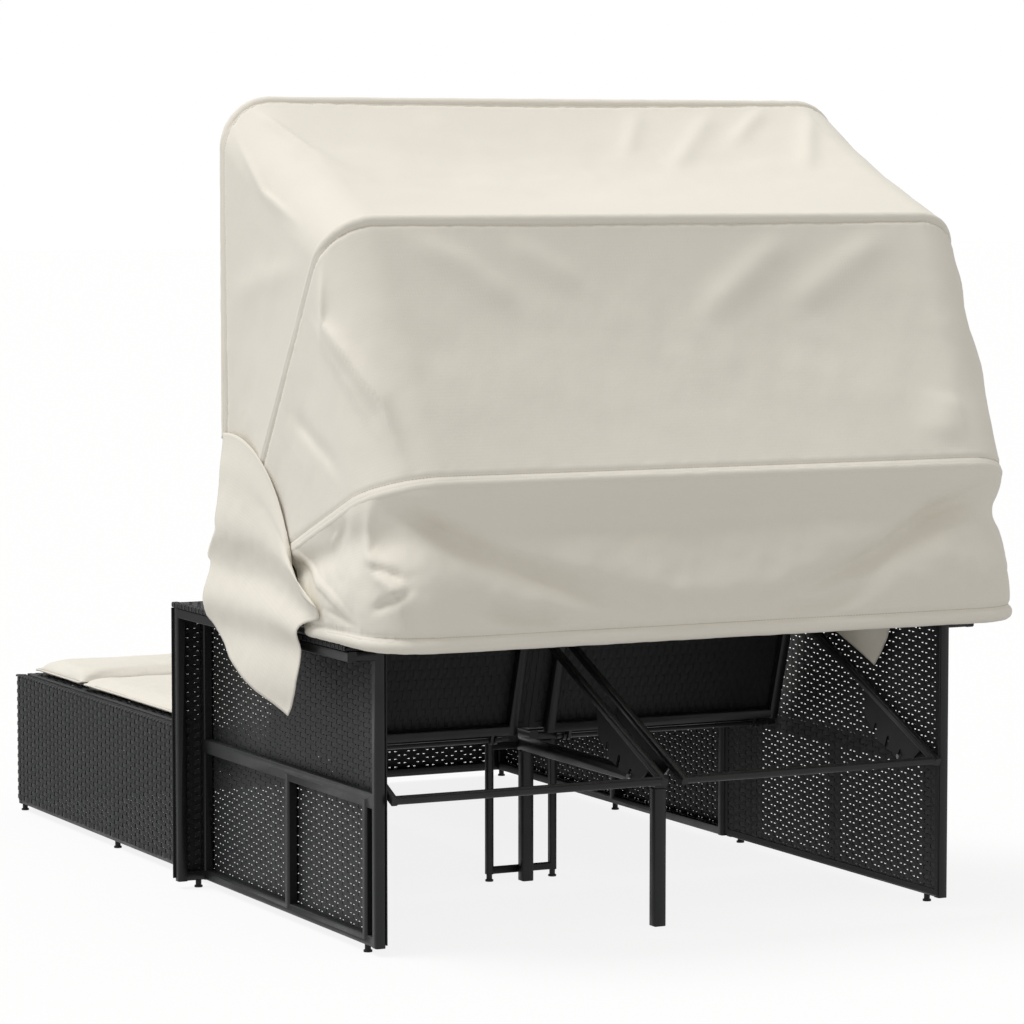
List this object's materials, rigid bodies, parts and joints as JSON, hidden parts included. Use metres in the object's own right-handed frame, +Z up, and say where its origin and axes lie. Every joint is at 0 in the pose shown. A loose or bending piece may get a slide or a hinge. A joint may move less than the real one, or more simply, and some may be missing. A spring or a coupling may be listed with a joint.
{
  "type": "outdoor daybed with canopy",
  "caption": "Outdoor daybed with woven sides and arms, reclining backrests on toothed struts, loose cushions, and a cloth canopy on folding bows.",
  "frame": {"origin": "on the floor, under the middle of the whole object's box", "axes": "+Z up; the foot end looks towards -Y and the canopy's hem is at +Y; +X is the sitter's left"},
  "size_m": [1.4109, 2.2, 1.6033],
  "materials": {
    "steel_frame": "satin",
    "woven_cane": "satin",
    "foot_plastic": "matte",
    "zinc_pin": "satin",
    "canopy_cloth": "matte",
    "cushion_cloth": "matte"
  },
  "bodies": {
    "base": {"arm_frame_left": "steel_frame", "arm_frame_right": "steel_frame", "low_side_frame_left": "steel_frame", "low_side_frame_right": "steel_frame", "seat_frame_left": "steel_frame", "seat_frame_right": "steel_frame", "canopy_bracket_left": "steel_frame", "canopy_bracket_right": "steel_frame", "foot_end_frame": "steel_frame", "centre_stand": "steel_frame", "centre_beam": "steel_frame", "centre_leg_front": "steel_frame", "centre_leg_rear": "steel_frame", "hem_bow": "steel_frame", "arm_inner_skin_left": "woven_cane", "arm_inner_skin_right": "woven_cane", "arm_front_skin_left": "woven_cane", "arm_front_skin_right": "woven_cane", "arm_top_skin_left": "woven_cane", "arm_top_skin_right": "woven_cane", "low_side_skin_left": "woven_cane", "low_side_skin_right": "woven_cane", "seat_skin_left": "woven_cane", "seat_skin_right": "woven_cane", "foot_end_skin": "woven_cane", "rear_foot_left": "foot_plastic", "rear_foot_right": "foot_plastic", "arm_front_foot_left": "foot_plastic", "arm_front_foot_right": "foot_plastic", "middle_foot_left": "foot_plastic", "middle_foot_right": "foot_plastic", "front_foot_left": "foot_plastic", "front_foot_right": "foot_plastic", "backrest_hinge_rod_left": "zinc_pin", "backrest_hinge_rod_right": "zinc_pin", "side_rest_pin_left": "zinc_pin", "side_rest_pin_right": "zinc_pin", "pivot_bolt_left": "zinc_pin", "pivot_bolt_right": "zinc_pin", "centre_rest_pin": "zinc_pin", "canopy_skirt": "canopy_cloth", "canopy_flap_left": "canopy_cloth", "canopy_flap_right": "canopy_cloth", "seat_cushion_left": "cushion_cloth", "seat_cushion_right": "cushion_cloth", "foot_cushion_left": "cushion_cloth", "foot_cushion_right": "cushion_cloth"},
    "backrest_left": {"backrest_frame_left": "steel_frame", "backrest_skin_left": "woven_cane", "back_cushion_left": "cushion_cloth"},
    "strut_left": {"strut_left": "steel_frame"},
    "backrest_right": {"backrest_frame_right": "steel_frame", "backrest_skin_right": "woven_cane", "back_cushion_right": "cushion_cloth"},
    "strut_right": {"strut_right": "steel_frame"},
    "seam_bow": {"seam_bow": "steel_frame"},
    "middle_bow": {"middle_bow": "steel_frame", "canopy_rear_panel": "canopy_cloth"},
    "front_bow": {"front_bow": "steel_frame", "canopy_front_panel": "canopy_cloth"}
  },
  "joints": [
    {"name": "backrest_left_recline", "type": "hinge", "parent": "base", "child": "backrest_left", "pos_m": [0, 0.285, 0.298], "axis": [-1, 0, 0], "range_deg": [0, 73]},
    {"name": "strut_left_swing", "type": "hinge", "parent": "backrest_left", "child": "strut_left", "pos_m": [0, 0.35809, 0.53708], "axis": [-1, 0, 0], "range_deg": [-97, 0]},
    {"name": "backrest_right_recline", "type": "hinge", "parent": "base", "child": "backrest_right", "pos_m": [0, 0.285, 0.298], "axis": [-1, 0, 0], "range_deg": [0, 73]},
    {"name": "strut_right_swing", "type": "hinge", "parent": "backrest_right", "child": "strut_right", "pos_m": [0, 0.35809, 0.53708], "axis": [-1, 0, 0], "range_deg": [-97, 0]},
    {"name": "canopy_fold", "type": "hinge", "parent": "base", "child": "seam_bow", "pos_m": [0, 0.33, 0.62], "axis": [-1, 0, 0], "range_deg": [0, 18], "deforming": ["canopy_skirt", "canopy_flap_left", "canopy_flap_right"]},
    {"name": "middle_fold", "type": "hinge", "parent": "seam_bow", "child": "middle_bow", "pos_m": [0, 0.33, 0.62], "axis": [-1, 0, 0], "range_deg": [0, 31], "deforming": ["canopy_rear_panel"]},
    {"name": "front_fold", "type": "hinge", "parent": "middle_bow", "child": "front_bow", "pos_m": [0, 0.33, 0.62], "axis": [-1, 0, 0], "range_deg": [0, 28], "deforming": ["canopy_front_panel"]}
  ],
  "couplings": [
    {"joint": "strut_left_swing", "follows": "backrest_left_recline", "ratio": -1.3287},
    {"joint": "strut_right_swing", "follows": "backrest_right_recline", "ratio": -1.3287},
    {"joint": "middle_fold", "follows": "canopy_fold", "ratio": 1.7222},
    {"joint": "front_fold", "follows": "canopy_fold", "ratio": 1.5555}
  ]
}
